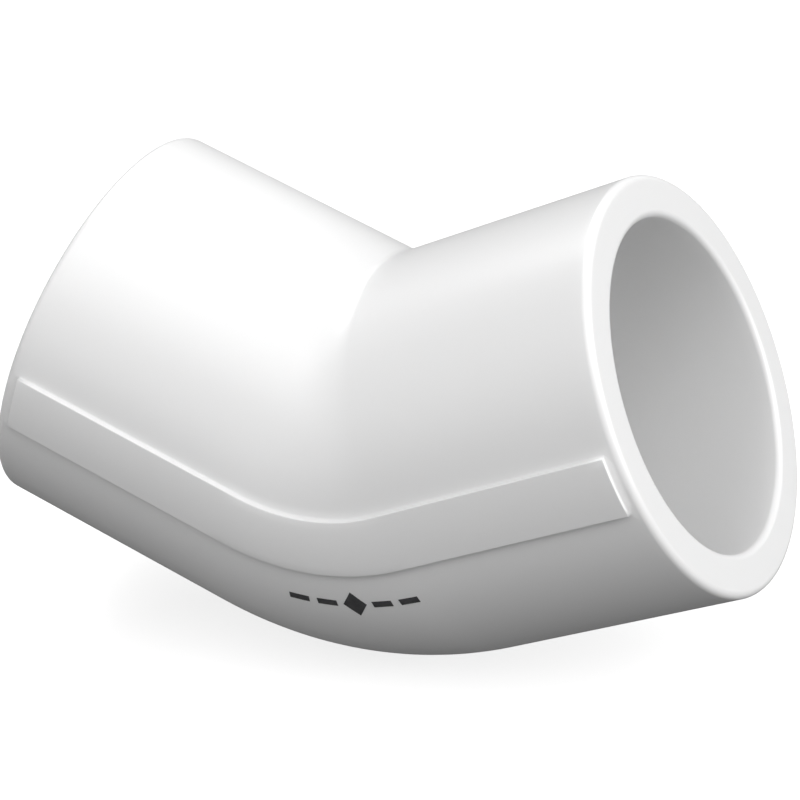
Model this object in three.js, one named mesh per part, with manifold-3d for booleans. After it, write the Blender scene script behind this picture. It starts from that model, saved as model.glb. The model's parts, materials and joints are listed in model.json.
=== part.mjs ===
// A 45 degree slip-socket elbow for 20 mm rigid PVC conduit.
//
// Millimetres, +Z up. The bend lies in the XZ plane, the two arms rise to the left and the
// right of the YZ plane, and the outside of the bend, the heel, touches z = 0. The side that
// carries the printed mark faces -Y.
//
// The moulding is built as the regions that a mould maker names: a socket tube on each arm,
// the bend body between them, whose end faces are the conduit stops, and a raised band along
// each side, whose face is curved like the barrel. The printed mark is a row of ink islands.

import * as THREE from 'three';
import { mergeVertices } from 'three/addons/utils/BufferGeometryUtils.js';
import Module from 'manifold-3d';

const wasm = await Module();
wasm.setup();

// Driving dimensions: sockets.
const mouthBore = 20.2;
const boreTaper = 0.2;
const socketDepth = 16.2;
const mouthWall = 2.6;
const rimRound = 0.45;
const mouthRound = 0.4;

// Driving dimensions: bend.
const bendAngle = THREE.MathUtils.degToRad(45);
const crotchRadius = 0.65;
const stopLedge = 1.5;

// Driving dimensions: side bands.
const bandWidth = 3.6;
const bandHeight = 0.3;
const bandSetback = 0.9;

// Driving dimensions: printed mark.
const inkThickness = 0.06;
const inkClearance = 0.02;
const dashLength = 1.3;
const dashHeight = 0.45;
const dashPitch = 1.85;
const dashesPerSide = 2;
const lozengeLength = 1.55;
const lozengeHeight = 1.95;
const markGap = 1.35;
const markMargin = 0.1;

// Resolution of round surfaces.
const roundSegments = 72;
const filletSegments = 3;
const bendSteps = 12;
const bandFaceSegments = 4;
const weldDistance = 1e-5;

// Dimensions that follow from the driving ones.
const mouthRadius = mouthBore / 2;
const rootRadius = (mouthBore - boreTaper) / 2;
const barrelRadius = mouthRadius + mouthWall;
const passageRadius = rootRadius - stopLedge;
const halfBend = bendAngle / 2;
const bendRadius = barrelRadius + crotchRadius;
const stopDistance = bendRadius * Math.tan(halfBend);
const rimDistance = stopDistance + socketDepth;
const pivotHeight = bendRadius / Math.cos(halfBend);
const heelDrop = bendRadius + barrelRadius - pivotHeight;
const halfBand = bandWidth / 2;
const bandEnd = rimDistance - bandSetback;
const bandRadius = barrelRadius + bandHeight;
const landDistance = Math.sqrt(barrelRadius ** 2 - halfBand ** 2);
const markRadius = bendRadius + halfBand + markGap + lozengeHeight / 2;
const halfMark = dashesPerSide * dashPitch + dashLength / 2;
const markTurn = halfBend - (markMargin + halfMark) / markRadius;

const whitePvc = { color: 0xf3f3f1, roughness: 0.35, metalness: 0 };
const greyInk = { color: 0x3d3d3d, roughness: 0.6, metalness: 0 };

// The centreline of the bend: an arc about the pivot, the Y-directed line above the crotch.
class BendArc extends THREE.Curve {
  getPoint(t, target = new THREE.Vector3()) {
    const turn = (2 * t - 1) * halfBend;
    return target.set(bendRadius * Math.sin(turn), 0, pivotHeight - bendRadius * Math.cos(turn));
  }

  getTangent(t, target = new THREE.Vector3()) {
    const turn = (2 * t - 1) * halfBend;
    return target.set(Math.cos(turn), 0, Math.sin(turn));
  }
}

// The centreline of the whole elbow between the bands' ends: an arm, the bend, an arm. Each
// arm is one step, and the bend is as many steps as the bend body has.
class BandPath extends THREE.Curve {
  getPoint(t, target = new THREE.Vector3()) {
    const step = t * (bendSteps + 2) - 1;
    const bend = new BendArc();
    bend.getPoint(THREE.MathUtils.clamp(step / bendSteps, 0, 1), target);
    const beyond = Math.max(-step, 0) + Math.max(step - bendSteps, 0);
    const side = step < 0 ? -1 : 1;
    return target.addScaledVector(this.getTangent(t), side * beyond * (bandEnd - stopDistance));
  }

  getTangent(t, target = new THREE.Vector3()) {
    const step = t * (bendSteps + 2) - 1;
    return new BendArc().getTangent(THREE.MathUtils.clamp(step / bendSteps, 0, 1), target);
  }

  // The steps are taken as they are, not evened out along the path's length.
  getUtoTmapping(u) {
    return u;
  }
}

// A closed geometry as a solid that can be joined and cut.
function toSolid(geometry) {
  const bare = geometry.index ? geometry.toNonIndexed() : geometry.clone();
  bare.deleteAttribute('normal');
  bare.deleteAttribute('uv');
  const merged = mergeVertices(bare, weldDistance);
  return new wasm.Manifold(new wasm.Mesh({
    numProp: 3,
    vertProperties: new Float32Array(merged.attributes.position.array),
    triVerts: new Uint32Array(merged.index.array),
  }));
}

function toGeometry(solid) {
  const mesh = solid.getMesh();
  const geometry = new THREE.BufferGeometry();
  geometry.setAttribute('position', new THREE.BufferAttribute(new Float32Array(mesh.vertProperties), 3));
  geometry.setIndex(new THREE.BufferAttribute(new Uint32Array(mesh.triVerts), 1));
  geometry.computeVertexNormals();
  return geometry;
}

function namedMesh(name, geometry, finish) {
  const mesh = new THREE.Mesh(geometry, new THREE.MeshStandardMaterial(finish));
  mesh.name = name;
  return mesh;
}

// An outline drawn in the XZ plane, made a plate between two distances on the -Y side.
function sidePlate(outline, near, far) {
  const plate = new THREE.ExtrudeGeometry(outline, {
    depth: far - near,
    bevelEnabled: false,
    curveSegments: bendSteps,
  });
  plate.translate(0, 0, near);
  plate.rotateX(Math.PI / 2);
  return plate;
}

// A ring section carried round the bend.
function bendRing(outerRadius, innerRadius) {
  const section = new THREE.Shape();
  section.absarc(0, 0, outerRadius, 0, 2 * Math.PI, false);
  const hole = new THREE.Path();
  hole.absarc(0, 0, innerRadius, 0, 2 * Math.PI, true);
  section.holes.push(hole);
  return new THREE.ExtrudeGeometry(section, {
    steps: bendSteps,
    curveSegments: roundSegments / 2,
    extrudePath: new BendArc(),
  });
}

// The outline of a band's land: straight along both arms, round the pivot in between.
function bandOutline() {
  const along = new THREE.Vector2(Math.cos(halfBend), Math.sin(halfBend));
  const across = new THREE.Vector2(-Math.sin(halfBend), Math.cos(halfBend));
  const lowerEnd = along.clone().multiplyScalar(bandEnd).addScaledVector(across, -halfBand);
  const upperEnd = along.clone().multiplyScalar(bandEnd).addScaledVector(across, halfBand);
  const down = -Math.PI / 2;
  const outline = new THREE.Shape();
  outline.moveTo(lowerEnd.x, lowerEnd.y);
  outline.lineTo(upperEnd.x, upperEnd.y);
  outline.absarc(0, pivotHeight, bendRadius - halfBand, down + halfBend, down - halfBend, true);
  outline.lineTo(-upperEnd.x, upperEnd.y);
  outline.lineTo(-lowerEnd.x, lowerEnd.y);
  outline.absarc(0, pivotHeight, bendRadius + halfBand, down - halfBend, down + halfBend, false);
  outline.closePath();
  return outline;
}

// Cuts the same land into a solid on its -Y side and, turned half round Z, on its +Y side.
function cutLands(body, plate) {
  const front = toSolid(plate);
  const back = toSolid(plate.clone().rotateZ(Math.PI));
  return toGeometry(toSolid(body).subtract(front).subtract(back));
}

// A socket tube along +X, from the stop to the rounded rim, with a land for each band.
function socketTube() {
  const profile = new THREE.Path();
  profile.moveTo(barrelRadius, stopDistance);
  profile.lineTo(barrelRadius, rimDistance - rimRound);
  profile.absarc(barrelRadius - rimRound, rimDistance - rimRound, rimRound, 0, Math.PI / 2, false);
  profile.lineTo(mouthRadius + mouthRound, rimDistance);
  profile.absarc(mouthRadius + mouthRound, rimDistance - mouthRound, mouthRound, Math.PI / 2, Math.PI, false);
  profile.lineTo(rootRadius, stopDistance);
  profile.lineTo(barrelRadius, stopDistance);
  const tube = new THREE.LatheGeometry(profile.getPoints(filletSegments), roundSegments);
  tube.rotateZ(-Math.PI / 2);

  const land = new THREE.BoxGeometry(2 * bandEnd, barrelRadius, bandWidth);
  land.translate(0, -landDistance - barrelRadius / 2, 0);
  return cutLands(tube, land);
}

// The bend body: the barrel wall and the conduit stops, carried round the pivot.
function bendBody() {
  const land = sidePlate(bandOutline(), landDistance, 2 * barrelRadius);
  return cutLands(bendRing(barrelRadius, passageRadius), land);
}

// A band on the -Y side, standing on its flat land, with a face that follows the barrel.
function sideBand() {
  const edgeTurn = Math.asin(halfBand / bandRadius);
  const section = new THREE.Shape();
  section.moveTo(landDistance, -halfBand);
  section.lineTo(bandRadius * Math.cos(edgeTurn), -halfBand);
  section.absarc(0, 0, bandRadius, -edgeTurn, edgeTurn, false);
  section.lineTo(landDistance, halfBand);
  section.closePath();
  return new THREE.ExtrudeGeometry(section, {
    steps: bendSteps + 2,
    curveSegments: bandFaceSegments,
    extrudePath: new BandPath(),
  });
}

// An outline near the origin, moved to its place beside the band and wrapped on the barrel as ink.
function inkIsland(outline, offset) {
  const skin = toSolid(bendRing(barrelRadius + inkClearance + inkThickness, barrelRadius + inkClearance));
  const plate = sidePlate(outline, barrelRadius / 2, 2 * barrelRadius);
  plate.translate(0, 0, -markRadius);
  plate.rotateY(-markTurn - offset / markRadius);
  plate.translate(0, 0, pivotHeight);
  return toGeometry(skin.intersect(toSolid(plate)));
}

function dashOutline() {
  const outline = new THREE.Shape();
  outline.moveTo(-dashLength / 2, -dashHeight / 2);
  outline.lineTo(dashLength / 2, -dashHeight / 2);
  outline.lineTo(dashLength / 2, dashHeight / 2);
  outline.lineTo(-dashLength / 2, dashHeight / 2);
  outline.closePath();
  return outline;
}

function lozengeOutline() {
  const outline = new THREE.Shape();
  outline.moveTo(-lozengeLength / 2, 0);
  outline.lineTo(0, -lozengeHeight / 2);
  outline.lineTo(lozengeLength / 2, 0);
  outline.lineTo(0, lozengeHeight / 2);
  outline.closePath();
  return outline;
}

// An arm: a socket turned up from the horizontal by half the bend.
function arm(name, heading) {
  const socket = namedMesh(name, socketTube(), whitePvc);
  socket.rotation.y = -halfBend;
  const group = new THREE.Group();
  group.rotation.z = heading;
  group.add(socket);
  return group;
}

const elbow = new THREE.Group();
elbow.position.z = heelDrop;
elbow.add(arm('socket_right', 0));
elbow.add(arm('socket_left', Math.PI));
elbow.add(namedMesh('bend_body', bendBody(), whitePvc));

const frontBand = namedMesh('side_band_front', sideBand(), whitePvc);
const backBand = namedMesh('side_band_back', sideBand(), whitePvc);
backBand.rotation.z = Math.PI;
elbow.add(frontBand, backBand);

// The mark: a lozenge with the same number of dashes on each side of it.
elbow.add(namedMesh('mark_lozenge', inkIsland(lozengeOutline(), 0), greyInk));
for (let place = 1; place <= dashesPerSide; place += 1) {
  const offset = place * dashPitch;
  elbow.add(namedMesh(`mark_dash_left_${place}`, inkIsland(dashOutline(), -offset), greyInk));
  elbow.add(namedMesh(`mark_dash_right_${place}`, inkIsland(dashOutline(), offset), greyInk));
}

export default elbow;
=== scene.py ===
# %% [markdown]
# # A 45 degree elbow in rigid PVC
# The subject is a small white fitting that turns electrical conduit through 45 degrees. The
# frame holds its sizes, so the first step is to load it and to keep its box: the finished
# surface has to stay inside that box.

# %% Load the frame
import json
import math

import bmesh
import bpy
from mathutils import Matrix, Vector


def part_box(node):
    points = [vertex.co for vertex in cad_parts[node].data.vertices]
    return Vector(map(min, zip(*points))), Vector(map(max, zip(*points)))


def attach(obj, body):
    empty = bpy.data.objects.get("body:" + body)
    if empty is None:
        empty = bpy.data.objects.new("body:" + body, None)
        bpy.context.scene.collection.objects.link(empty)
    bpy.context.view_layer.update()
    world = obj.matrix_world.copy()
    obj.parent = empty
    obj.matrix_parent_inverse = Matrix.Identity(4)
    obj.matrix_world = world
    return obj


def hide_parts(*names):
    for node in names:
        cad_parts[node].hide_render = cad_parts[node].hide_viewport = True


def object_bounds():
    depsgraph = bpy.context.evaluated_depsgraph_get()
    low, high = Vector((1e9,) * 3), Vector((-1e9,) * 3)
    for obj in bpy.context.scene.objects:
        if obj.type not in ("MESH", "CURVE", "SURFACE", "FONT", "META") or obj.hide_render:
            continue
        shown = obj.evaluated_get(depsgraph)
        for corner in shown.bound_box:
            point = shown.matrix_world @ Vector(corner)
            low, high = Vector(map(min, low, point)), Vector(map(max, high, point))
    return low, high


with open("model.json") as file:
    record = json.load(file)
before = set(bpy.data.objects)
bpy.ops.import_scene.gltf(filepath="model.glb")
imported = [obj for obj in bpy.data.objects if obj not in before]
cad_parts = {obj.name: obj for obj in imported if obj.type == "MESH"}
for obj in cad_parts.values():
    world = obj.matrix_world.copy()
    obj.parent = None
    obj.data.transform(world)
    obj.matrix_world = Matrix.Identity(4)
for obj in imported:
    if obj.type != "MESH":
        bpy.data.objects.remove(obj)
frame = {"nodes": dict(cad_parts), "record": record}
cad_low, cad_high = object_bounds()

MM = 0.001
print("frame nodes", sorted(frame["nodes"]))
print("frame box, mm", [round(side / MM, 2) for side in cad_high - cad_low])

# %% [markdown]
# ## Sizes read from the frame
# The frame gives most sizes. Half a socket's width is the barrel's radius. The front band's box
# gives its radius, its width and where it ends. The right rim's mount gives the arm's direction and
# the plane of the rim. Only what no box shows is repeated here: the bores, the small rounding
# radii, and the radius of the crotch, the tight inner side of the bend.

# %% Sizes
socket_low, socket_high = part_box("socket_right")
band_low, band_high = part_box("side_band_front")
rim = next(mount for mount in frame["record"]["mounts"] if mount["name"] == "rim_right")

MOUTH_RADIUS = 10.1 * MM
ROOT_RADIUS = 10.0 * MM
PASSAGE_RADIUS = 8.5 * MM
CROTCH_RADIUS = 0.65 * MM
RIM_ROUND = 0.465 * MM
MOUTH_ROUND = 0.4 * MM

ALONG = Vector(rim["axis"]).normalized()
HALF_BEND = math.atan2(ALONG.z, ALONG.x)

BARREL_RADIUS = (socket_high.y - socket_low.y) / 2
BEND_RADIUS = BARREL_RADIUS + CROTCH_RADIUS
BEND_CENTRE = Vector((0.0, 0.0, BARREL_RADIUS))
PIVOT = BEND_CENTRE + Vector((0.0, 0.0, BEND_RADIUS))
CROSSING = PIVOT - Vector((0.0, 0.0, BEND_RADIUS / math.cos(HALF_BEND)))
STOP_DISTANCE = BEND_RADIUS * math.tan(HALF_BEND)
RIM_DISTANCE = (Vector(rim["pos_m"]) - CROSSING).dot(ALONG)

BAND_RADIUS = -band_low.y
BAND_LAND = -band_high.y
HALF_BAND = math.sqrt(BARREL_RADIUS ** 2 - BAND_LAND ** 2)
BAND_END = (band_high.x - HALF_BAND * ALONG.z) / ALONG.x
print("barrel radius, mm", round(BARREL_RADIUS / MM, 3))
print("half bend, degrees", round(math.degrees(HALF_BEND), 2))
print("stop, band end and rim, mm", [round(d / MM, 2) for d in (STOP_DISTANCE, BAND_END, RIM_DISTANCE)])
print("band radius, land and half width, mm", [
    round(d / MM, 3) for d in (BAND_RADIUS, BAND_LAND, HALF_BAND)
])

# %% [markdown]
# ## The camera
# The elbow stands on its heel and is seen from the front right and from above. A long lens from a
# hand's breadth away keeps the near mouth only a little larger than the far one. The aim is a point
# in the plane of the bend, and the camera is rolled a few degrees.

# %% Camera
CAMERA_AZIMUTH = math.radians(26.07)
CAMERA_ELEVATION = math.radians(25.89)
CAMERA_ROLL = math.radians(-4.67)
CAMERA_DISTANCE = 136.45 * MM
CAMERA_LENS = 98.42
CAMERA_AIM = Vector((0.565 * MM, 0.0, 16.255 * MM))
CAMERA_FILM_WIDTH = 36.0
CAMERA_NEAR = 0.005
CAMERA_FAR = 20.0


def camera_matrix(azimuth, elevation, roll, distance, aim):
    """A camera that looks at aim from that bearing; roll turns it about its line of sight."""
    back = Vector((
        math.sin(azimuth) * math.cos(elevation),
        -math.cos(azimuth) * math.cos(elevation),
        math.sin(elevation),
    ))
    level = back.to_track_quat("Z", "Y").to_matrix().to_4x4()
    return Matrix.Translation(aim + back * distance) @ level @ Matrix.Rotation(roll, 4, "Z")


camera_data = bpy.data.cameras.new("studio_camera")
camera_data.lens = CAMERA_LENS
camera_data.sensor_width = CAMERA_FILM_WIDTH
camera_data.clip_start = CAMERA_NEAR
camera_data.clip_end = CAMERA_FAR
camera = bpy.data.objects.new("studio_camera", camera_data)
camera.matrix_world = camera_matrix(
    CAMERA_AZIMUTH, CAMERA_ELEVATION, CAMERA_ROLL, CAMERA_DISTANCE, CAMERA_AIM
)
bpy.context.scene.collection.objects.link(camera)
bpy.context.scene.camera = camera
print("camera at, mm", [round(value / MM, 1) for value in camera.matrix_world.translation])

# %% [markdown]
# ## Small helpers
# A bmesh becomes an object that sits at the origin, with its place in its mesh. It is shaded smooth
# where its faces turn gently and kept sharp where they don't. One function adds a shader node with
# its settings and links, and one turns an sRGB hex colour into the linear values that shaders expect.

# %% Helpers
SHARP_ANGLE = math.radians(50)


def finish_mesh(bm, name, material):
    """Turns a bmesh into an object at the origin, shaded smooth but for its sharp edges."""
    mesh = bpy.data.meshes.new(name)
    bm.to_mesh(mesh)
    bm.free()
    mesh.polygons.foreach_set("use_smooth", [True] * len(mesh.polygons))
    mesh.set_sharp_from_angle(angle=SHARP_ANGLE)
    mesh.materials.append(material)
    piece = bpy.data.objects.new(name, mesh)
    bpy.context.scene.collection.objects.link(piece)
    print(name, "has", len(mesh.polygons), "faces")
    return piece


def linear(hex_colour):
    """An sRGB colour such as "#F4F4F2" as linear red, green, blue and an alpha of one."""
    channels = [int(hex_colour[place:place + 2], 16) / 255 for place in (1, 3, 5)]
    linearised = [
        value / 12.92 if value <= 0.04045 else ((value + 0.055) / 1.055) ** 2.4
        for value in channels
    ]
    return (*linearised, 1.0)


def add_node(tree, kind, settings=None, inputs=None):
    """Adds a node. An input that is another node's socket is linked, and any other is a value."""
    node = tree.nodes.new(kind)
    for key, value in (settings or {}).items():
        setattr(node, key, value)
    for key, value in (inputs or {}).items():
        if isinstance(value, bpy.types.NodeSocket):
            tree.links.new(value, node.inputs[key])
        else:
            node.inputs[key].default_value = value
    return node


def new_tree(owner):
    """Switches an owner of nodes to an empty node tree."""
    owner.use_nodes = True
    owner.node_tree.nodes.clear()
    return owner.node_tree


# %% [markdown]
# ## Rigid PVC, injection moulded
# White unplasticised PVC is filled with titanium dioxide, so it is bright, opaque and neutral. The
# polished mould gives it a satin gloss. Its index of refraction is about 1.53. Light goes in a few
# tenths of a millimetre, which softens the thin edges. Two fine patterns break up the gloss: the soft
# flow waviness of moulded plastic, and a much finer texture left by the mould's polish, drawn coarser
# than the real one so that it shows at all.

# %% Rigid PVC material
PVC_COLOUR = "#ECECEC"
FLOW_SIZE = 6.0 * MM
FLOW_HEIGHT = 0.05 * MM
GRAIN_SIZE = 0.25 * MM
GRAIN_HEIGHT = 0.004 * MM
SMOOTHEST_PVC = 0.30
ROUGHEST_PVC = 0.38
LIGHT_DEPTH = 0.3 * MM


def moulded_pvc():
    """Rigid white PVC with a satin, faintly wavy surface."""
    material = bpy.data.materials.new("rigid_pvc_moulded")
    tree = new_tree(material)
    place = add_node(tree, "ShaderNodeTexCoord").outputs["Object"]
    flow = add_node(
        tree, "ShaderNodeTexNoise", {"noise_dimensions": "3D"},
        {"Vector": place, "Scale": 1 / FLOW_SIZE, "Detail": 1.0, "Roughness": 0.4},
    ).outputs["Fac"]
    grain = add_node(
        tree, "ShaderNodeTexNoise", {"noise_dimensions": "3D"},
        {"Vector": place, "Scale": 1 / GRAIN_SIZE, "Detail": 2.0, "Roughness": 0.5},
    ).outputs["Fac"]
    waves = add_node(
        tree, "ShaderNodeBump", None,
        {"Height": flow, "Strength": 0.08, "Distance": FLOW_HEIGHT},
    ).outputs["Normal"]
    bump = add_node(
        tree, "ShaderNodeBump", None,
        {"Height": grain, "Normal": waves, "Strength": 0.1, "Distance": GRAIN_HEIGHT},
    ).outputs["Normal"]
    roughness = add_node(
        tree, "ShaderNodeMapRange", None,
        {
            "Value": grain, "From Min": 0.3, "From Max": 0.7,
            "To Min": SMOOTHEST_PVC, "To Max": ROUGHEST_PVC,
        },
    ).outputs["Result"]
    surface = add_node(
        tree, "ShaderNodeBsdfPrincipled", None,
        {
            "Base Color": linear(PVC_COLOUR),
            "Roughness": roughness,
            "Normal": bump,
            "IOR": 1.53,
            "Subsurface Weight": 0.1,
            "Subsurface Radius": (1.0, 0.95, 0.9),
            "Subsurface Scale": LIGHT_DEPTH,
        },
    ).outputs["BSDF"]
    add_node(tree, "ShaderNodeOutputMaterial", None, {"Surface": surface})
    return material


pvc = moulded_pvc()
print("material", pvc.name)

# %% [markdown]
# ## The moulding, as a ring that grows
# The real elbow comes out of its mould as one piece, so it is drawn as one seamless surface. It is
# its own mirror image, so half of it is enough. A ring of edges starts in the middle of the bend.
# It is spun round the pivot, pulled along the arm to the rim, turned in over the rim, pulled back
# down the bore to the stop that the conduit meets, and spun back through the passage. Each step
# acts on the whole ring, so the faces stay even and no seam can open. The steps are the faces across
# a band, round each side between the bands, and round half of the bend.

# %% The ring and the ways it grows
BAND_STEPS = 6
SIDE_STEPS = 56
BEND_STEPS = 14
TINY = 0.001 * MM


def section_ring(bm, radius):
    """A ring of edges in the middle of the bend, with corners where the bands' sides will be."""
    half_band = math.asin(HALF_BAND / BARREL_RADIUS)
    spoke = Matrix.Rotation(half_band, 3, "X") @ Vector((0.0, -radius, 0.0))
    tip = [bm.verts.new(BEND_CENTRE + spoke)]
    band = (-2 * half_band, BAND_STEPS)
    side = (2 * half_band - math.pi, SIDE_STEPS)
    for angle, steps in (band, side, band, side):
        spun = bmesh.ops.spin(
            bm, geom=tip, cent=BEND_CENTRE, axis=(1.0, 0.0, 0.0), angle=angle, steps=steps
        )
        tip = [item for item in spun["geom_last"] if isinstance(item, bmesh.types.BMVert)]
    bmesh.ops.remove_doubles(bm, verts=bm.verts, dist=TINY)
    return list(bm.edges)


def spin_ring(bm, ring, angle):
    """Carries a ring round the pivot and returns the ring that it ends in."""
    verts = list({vert for edge in ring for vert in edge.verts})
    spun = bmesh.ops.spin(
        bm, geom=verts + ring, cent=PIVOT, axis=(0.0, -1.0, 0.0), angle=angle, steps=BEND_STEPS
    )
    return [item for item in spun["geom_last"] if isinstance(item, bmesh.types.BMEdge)]


def reach_of(point):
    """How far along its arm a point is, and how far from the arm's axis. Both arms are alike."""
    offset = Vector((abs(point.x), point.y, point.z)) - CROSSING
    reach = offset.dot(ALONG)
    return reach, (offset - ALONG * reach).length


def pull_ring(bm, ring, distance, radius, steps=1):
    """Extrudes a ring along the right arm to a distance from the crossing and a radius."""
    start_distance, start_radius = reach_of(ring[0].verts[0].co)
    for step in range(1, steps + 1):
        share = step / steps
        step_distance = start_distance + (distance - start_distance) * share
        step_radius = start_radius + (radius - start_radius) * share
        grown = bmesh.ops.extrude_edge_only(bm, edges=ring)["geom"]
        for vert in (item for item in grown if isinstance(item, bmesh.types.BMVert)):
            offset = vert.co - CROSSING
            spoke = (offset - ALONG * offset.dot(ALONG)).normalized()
            vert.co = CROSSING + ALONG * step_distance + spoke * step_radius
        ring = [item for item in grown if isinstance(item, bmesh.types.BMEdge)]
    return ring


# %% [markdown]
# The outside comes first, as far as the bands' ends, because the bands are raised from it before
# the bore exists. The faces between a band's two sides are extruded as one region and moved out to
# the band's own radius, so its face is curved like the barrel and its sides are parallel.

# %% Half of the moulding
ARM_STEPS = 14


def raise_band(bm, side):
    """Raises the band on one side, -1 for the front and 1 for the back."""
    strip = [
        face for face in bm.faces
        if face.calc_center_median().y * side > BAND_LAND
        and reach_of(face.calc_center_median())[0] < BAND_END
    ]
    grown = bmesh.ops.extrude_face_region(bm, geom=strip)["geom"]
    bmesh.ops.delete(bm, geom=strip, context="FACES")
    for vert in (item for item in grown if isinstance(item, bmesh.types.BMVert)):
        vert.co.y = side * math.sqrt(vert.co.y ** 2 + BAND_RADIUS ** 2 - BARREL_RADIUS ** 2)
    on_mirror = [
        face for face in bm.faces if all(abs(vert.co.x) < TINY for vert in face.verts)
    ]
    bmesh.ops.delete(bm, geom=on_mirror, context="FACES_ONLY")
    return len(strip)


moulding = bmesh.new()
ring = section_ring(moulding, BARREL_RADIUS)
ring = spin_ring(moulding, ring, HALF_BEND)
ring = pull_ring(moulding, ring, BAND_END, BARREL_RADIUS, ARM_STEPS)
ring = pull_ring(moulding, ring, RIM_DISTANCE, BARREL_RADIUS)
ring = pull_ring(moulding, ring, RIM_DISTANCE, MOUTH_RADIUS)
ring = pull_ring(moulding, ring, STOP_DISTANCE, ROOT_RADIUS, ARM_STEPS)
ring = pull_ring(moulding, ring, STOP_DISTANCE, PASSAGE_RADIUS)
ring = spin_ring(moulding, ring, -HALF_BEND)
strips = [raise_band(moulding, side) for side in (-1, 1)]
loose = [edge for edge in moulding.edges if not edge.link_faces]
bmesh.ops.delete(moulding, geom=loose, context="EDGES")
print("half has", len(moulding.faces), "faces; each band was raised from", strips)

# %% [markdown]
# The other half is a mirror image. Its faces point inwards at first, so the doubles are merged on
# the mirror plane and all normals are worked out again.

# %% The other half
bmesh.ops.mirror(
    moulding, geom=list(moulding.verts) + list(moulding.edges) + list(moulding.faces),
    axis="X", merge_dist=TINY,
)
bmesh.ops.remove_doubles(moulding, verts=moulding.verts, dist=TINY)
bmesh.ops.recalc_face_normals(moulding, faces=moulding.faces)
open_edges = [edge for edge in moulding.edges if len(edge.link_faces) != 2]
print("whole has", len(moulding.faces), "faces and", len(open_edges), "open edges")
print("volume, mm3", round(moulding.calc_volume(signed=True) / MM ** 3, 1))

# %% [markdown]
# ## Rounded edges
# A mould has no truly sharp edges, and the highlights on the rounded ones are what makes the
# plastic look real. The rim is rounded the most, and the mouth of the bore almost as much, so that
# conduit finds its way in. The stop's edge and the bands' edges are only just broken. An edge of a
# band counts as sharp when its two faces turn by more than half a radian, outwards or inwards.

# %% Round the edges
STOP_ROUND = 0.2 * MM
BAND_ROUND = 0.06 * MM
BAND_FILLET = 0.12 * MM
SHARP_TURN = 0.5


def is_at(edge, reach, radius):
    """Whether both ends of an edge are at that reach along their arm and that radius."""
    return all(
        abs(reach_of(vert.co)[0] - reach) < TINY and abs(reach_of(vert.co)[1] - radius) < TINY
        for vert in edge.verts
    )


def round_edges(bm, edges, radius, segments):
    """Rounds edges with an arc of that radius."""
    bmesh.ops.bevel(
        bm, geom=edges, offset=radius, offset_type="OFFSET", profile_type="SUPERELLIPSE",
        segments=segments, profile=0.5, affect="EDGES", clamp_overlap=True, material=-1,
        loop_slide=True,
    )
    print("rounded", len(edges), "edges to", round(radius / MM, 2), "mm")


def band_edges(bm, at_face):
    """The sharp edges round the bands' faces, or those along their roots."""
    chosen = []
    for edge in bm.edges:
        heights = [abs(vert.co.y) for vert in edge.verts]
        raised = [height > BARREL_RADIUS + TINY for height in heights]
        turned = edge.calc_face_angle_signed()
        if at_face and all(raised) and turned > SHARP_TURN:
            chosen.append(edge)
        rooted = all(abs(height - BAND_LAND) < TINY for height in heights)
        if not at_face and rooted and turned < -SHARP_TURN:
            chosen.append(edge)
    return chosen


def edges_at(bm, reach, radius):
    """The ring of edges on each arm at that reach and that radius."""
    return [edge for edge in bm.edges if is_at(edge, reach, radius)]


round_edges(moulding, edges_at(moulding, RIM_DISTANCE, BARREL_RADIUS), RIM_ROUND, 8)
round_edges(moulding, edges_at(moulding, RIM_DISTANCE, MOUTH_RADIUS), MOUTH_ROUND, 5)
round_edges(moulding, edges_at(moulding, STOP_DISTANCE, PASSAGE_RADIUS), STOP_ROUND, 4)
round_edges(moulding, band_edges(moulding, False), BAND_FILLET, 3)
round_edges(moulding, band_edges(moulding, True), BAND_ROUND, 3)

# %% [markdown]
# Flat faces next to small rounds need normals that follow the larger face, or the flats look
# puffed up. The Weighted Normal modifier does that.

# %% Finish the moulding
AREA_WEIGHT = 50
elbow = finish_mesh(moulding, "elbow_moulding", pvc)
weighted = elbow.modifiers.new("weighted_normals", "WEIGHTED_NORMAL")
weighted.mode = "FACE_AREA"
weighted.weight = AREA_WEIGHT
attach(elbow, "root")
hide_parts("socket_right", "socket_left", "bend_body", "side_band_front", "side_band_back")

# %% [markdown]
# ## The printed mark
# Fittings like this carry a small mark, pad printed under the band. Here it is plain: a lozenge
# between two pairs of dashes. A soft pad lays the ink on as a film a few hundredths of a millimetre
# thick, which follows the barrel. Each island starts as a flat grid, is turned into its place beside
# the band, and is then pressed on to the barrel. The extruded top of the film makes it a thin solid.

# %% The mark's sizes
DASH_LENGTH = 1.3 * MM
DASH_HEIGHT = 0.45 * MM
DASH_PITCH = 1.85 * MM
DASHES_PER_SIDE = 2
LOZENGE_LENGTH = 1.55 * MM
LOZENGE_HEIGHT = 1.95 * MM
MARK_GAP = 1.35 * MM
MARK_MARGIN = 0.1 * MM

HALF_MARK = DASHES_PER_SIDE * DASH_PITCH + DASH_LENGTH / 2
MARK_RADIUS = BEND_RADIUS + HALF_BAND + MARK_GAP + LOZENGE_HEIGHT / 2
MARK_TURN = HALF_BEND - (MARK_MARGIN + HALF_MARK) / MARK_RADIUS
print("mark turned from the heel, degrees", round(math.degrees(MARK_TURN), 2))

# %% [markdown]
# ## Pad printing ink
# The ink is a carbon black let down to a dark grey. It dries matte, and it is a little thinner and
# paler where the pad lifted, so two soft patterns vary its grey and its roughness.

# %% Ink material
INK_COLOUR = "#38383A"
THIN_INK_COLOUR = "#4A4A4B"
INK_MOTTLE = 0.35 * MM
INK_GRAIN = 0.12 * MM
INK_GRAIN_HEIGHT = 0.01 * MM
SMOOTHEST_INK = 0.5
ROUGHEST_INK = 0.65


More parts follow.
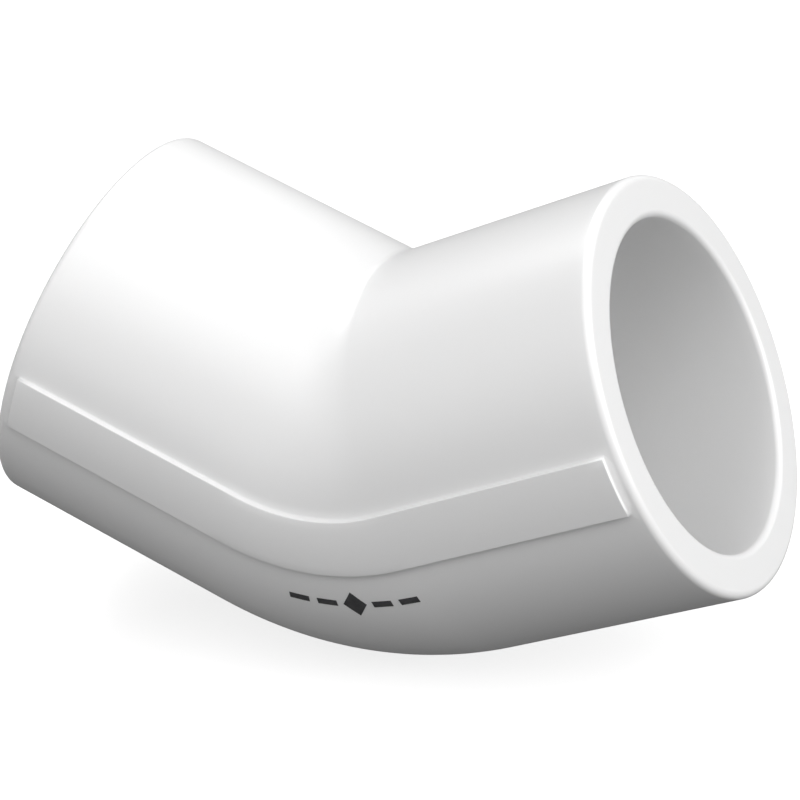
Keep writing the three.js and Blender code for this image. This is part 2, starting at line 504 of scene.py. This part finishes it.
def pad_printing_ink():
    """Matte dark grey ink, slightly uneven in its density."""
    material = bpy.data.materials.new("pad_printing_ink")
    tree = new_tree(material)
    place = add_node(tree, "ShaderNodeTexCoord").outputs["Object"]
    mottle = add_node(
        tree, "ShaderNodeTexNoise", {"noise_dimensions": "3D"},
        {"Vector": place, "Scale": 1 / INK_MOTTLE, "Detail": 2.0, "Roughness": 0.6},
    ).outputs["Fac"]
    grain = add_node(
        tree, "ShaderNodeTexNoise", {"noise_dimensions": "3D"},
        {"Vector": place, "Scale": 1 / INK_GRAIN, "Detail": 1.0, "Roughness": 0.5},
    ).outputs["Fac"]
    density = add_node(tree, "ShaderNodeValToRGB", None, {"Fac": mottle})
    density.color_ramp.elements[0].position = 0.35
    density.color_ramp.elements[0].color = linear(INK_COLOUR)
    density.color_ramp.elements[1].position = 0.7
    density.color_ramp.elements[1].color = linear(THIN_INK_COLOUR)
    roughness = add_node(
        tree, "ShaderNodeMapRange", None,
        {
            "Value": mottle, "From Min": 0.3, "From Max": 0.7,
            "To Min": SMOOTHEST_INK, "To Max": ROUGHEST_INK,
        },
    ).outputs["Result"]
    bump = add_node(
        tree, "ShaderNodeBump", None,
        {"Height": grain, "Strength": 0.2, "Distance": INK_GRAIN_HEIGHT},
    ).outputs["Normal"]
    surface = add_node(
        tree, "ShaderNodeBsdfPrincipled", None,
        {
            "Base Color": density.outputs["Color"],
            "Roughness": roughness,
            "Normal": bump,
            "IOR": 1.5,
        },
    ).outputs["BSDF"]
    add_node(tree, "ShaderNodeOutputMaterial", None, {"Surface": surface})
    return material


ink = pad_printing_ink()
print("material", ink.name)

# %% [markdown]
# The barrel bends like a ring, so the depth of a point of the mark follows from how far it is from
# the pivot. The film's underside lies just inside the plastic, so that no light gets under it.

# %% Print the mark
FILM = 0.02 * MM
ISLAND_STEPS = 8


def press_on_barrel(verts, lift):
    """Moves points along Y on to the bent barrel's front, lifted by that much."""
    for vert in verts:
        from_pivot = math.hypot(vert.co.x - PIVOT.x, vert.co.z - PIVOT.z)
        offset = from_pivot - BEND_RADIUS
        vert.co.y = -math.sqrt((BARREL_RADIUS + lift) ** 2 - offset ** 2)


def ink_island(bm, along, shape):
    """Prints one island of ink that far along the mark from its middle."""
    place = (
        Matrix.Translation(PIVOT)
        @ Matrix.Rotation(-MARK_TURN - along / MARK_RADIUS, 4, "Y")
        @ Matrix.Translation((0.0, 0.0, -MARK_RADIUS))
        @ Matrix.Rotation(math.radians(90), 4, "X")
    )
    grid = bmesh.ops.create_grid(
        bm, x_segments=ISLAND_STEPS, y_segments=ISLAND_STEPS, size=0.5, matrix=place @ shape
    )["verts"]
    press_on_barrel(grid, -FILM)
    faces = list({face for vert in grid for face in vert.link_faces})
    grown = bmesh.ops.extrude_face_region(bm, geom=faces, use_keep_orig=True)["geom"]
    press_on_barrel([item for item in grown if isinstance(item, bmesh.types.BMVert)], FILM)


mark = bmesh.new()
dash = Matrix.Diagonal((DASH_LENGTH, DASH_HEIGHT, 1.0, 1.0))
diagonal = math.sqrt(0.5)
lozenge = (
    Matrix.Diagonal((LOZENGE_LENGTH * diagonal, LOZENGE_HEIGHT * diagonal, 1.0, 1.0))
    @ Matrix.Rotation(math.radians(45), 4, "Z")
)
ink_island(mark, 0.0, lozenge)
for number in range(1, DASHES_PER_SIDE + 1):
    ink_island(mark, number * DASH_PITCH, dash)
    ink_island(mark, -number * DASH_PITCH, dash)
bmesh.ops.recalc_face_normals(mark, faces=mark.faces)
print("ink film, mm3", round(mark.calc_volume(signed=True) / MM ** 3, 3))
print("open edges", sum(len(edge.link_faces) != 2 for edge in mark.edges))

printed_mark = finish_mesh(mark, "printed_mark", ink)
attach(printed_mark, "root")
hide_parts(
    "mark_lozenge", "mark_dash_left_1", "mark_dash_left_2", "mark_dash_right_1",
    "mark_dash_right_2",
)

# %% [markdown]
# ## The table
# The elbow stands on a light table, a sheet of opal acrylic lit from below, as small white goods
# often are when they are recorded. The glow keeps the table nearly white even where the elbow shades
# it. The table is hidden from the light that bounces between surfaces, because a sheet this close
# and this bright would fill in the elbow's own soft shadows, and it lets the soft boxes' light pass.

# %% Table
OPAL_COLOUR = "#B4B4B4"
OPAL_GLOW = 0.76
TABLE_HALF_SIDE = 2.0


def opal_acrylic():
    """A plain matte sheet that glows evenly."""
    material = bpy.data.materials.new("opal_acrylic_backlit")
    tree = new_tree(material)
    surface = add_node(
        tree, "ShaderNodeBsdfPrincipled", None,
        {
            "Base Color": linear(OPAL_COLOUR),
            "Roughness": 0.9,
            "Specular IOR Level": 0.1,
            "Emission Color": linear("#FFFFFF"),
            "Emission Strength": OPAL_GLOW,
        },
    ).outputs["BSDF"]
    add_node(tree, "ShaderNodeOutputMaterial", None, {"Surface": surface})
    return material


table_mesh = bmesh.new()
bmesh.ops.create_grid(table_mesh, x_segments=1, y_segments=1, size=TABLE_HALF_SIDE)
table = finish_mesh(table_mesh, "light_table", opal_acrylic())
table.visible_diffuse = False
table.visible_glossy = False
table.visible_shadow = False

# %% [markdown]
# ## Soft boxes
# White plastic shows its shape only through soft light and shade. The main soft box stands on the
# right and lights the near mouth. One stands high behind on the left and draws the bright upper
# sides of both arms. The weaker ones in front grade the side with the band from light above to dark
# below. A dim even surround fills the rest, and the camera sees it as a pale backdrop.

# %% Light
SOFT_BOX_SIZE = 0.3
SOFT_BOX_DISTANCE = 0.45
SOFT_BOXES = {
    "right": (90, 25, 1.72),
    "back_left_high": (225, 55, 1.15),
    "front_right_high": (45, 55, 0.50),
    "front_high": (0, 55, 0.41),
    "front_left": (315, 25, 0.32),
    "front_low": (0, 5, 0.38),
}
SURROUND = 0.1
BACKDROP = 0.86


def soft_box(name, azimuth, elevation, power):
    """A square soft box aimed at the middle of the elbow: its bearing in degrees, power in watts."""
    data = bpy.data.lights.new(name, "AREA")
    data.shape = "SQUARE"
    data.size = SOFT_BOX_SIZE
    data.energy = power
    light = bpy.data.objects.new(name, data)
    light.matrix_world = camera_matrix(
        math.radians(azimuth), math.radians(elevation), 0.0, SOFT_BOX_DISTANCE,
        (cad_low + cad_high) / 2,
    )
    bpy.context.scene.collection.objects.link(light)


for box_name, box in SOFT_BOXES.items():
    soft_box(box_name, *box)
world = bpy.data.worlds.new("studio_world")
world_tree = new_tree(world)
seen = add_node(world_tree, "ShaderNodeLightPath").outputs["Is Camera Ray"]
strength = add_node(
    world_tree, "ShaderNodeMapRange", None,
    {"Value": seen, "To Min": SURROUND, "To Max": BACKDROP},
).outputs["Result"]
sky = add_node(
    world_tree, "ShaderNodeBackground", None, {"Color": linear("#FFFFFF"), "Strength": strength}
)
add_node(world_tree, "ShaderNodeOutputWorld", None, {"Surface": sky.outputs["Background"]})
bpy.context.scene.world = world
bpy.context.scene.view_settings.view_transform = "Standard"
total_power = sum(power for azimuth, elevation, power in SOFT_BOXES.values())
print("soft boxes", len(SOFT_BOXES), "with", round(total_power, 2), "watts")
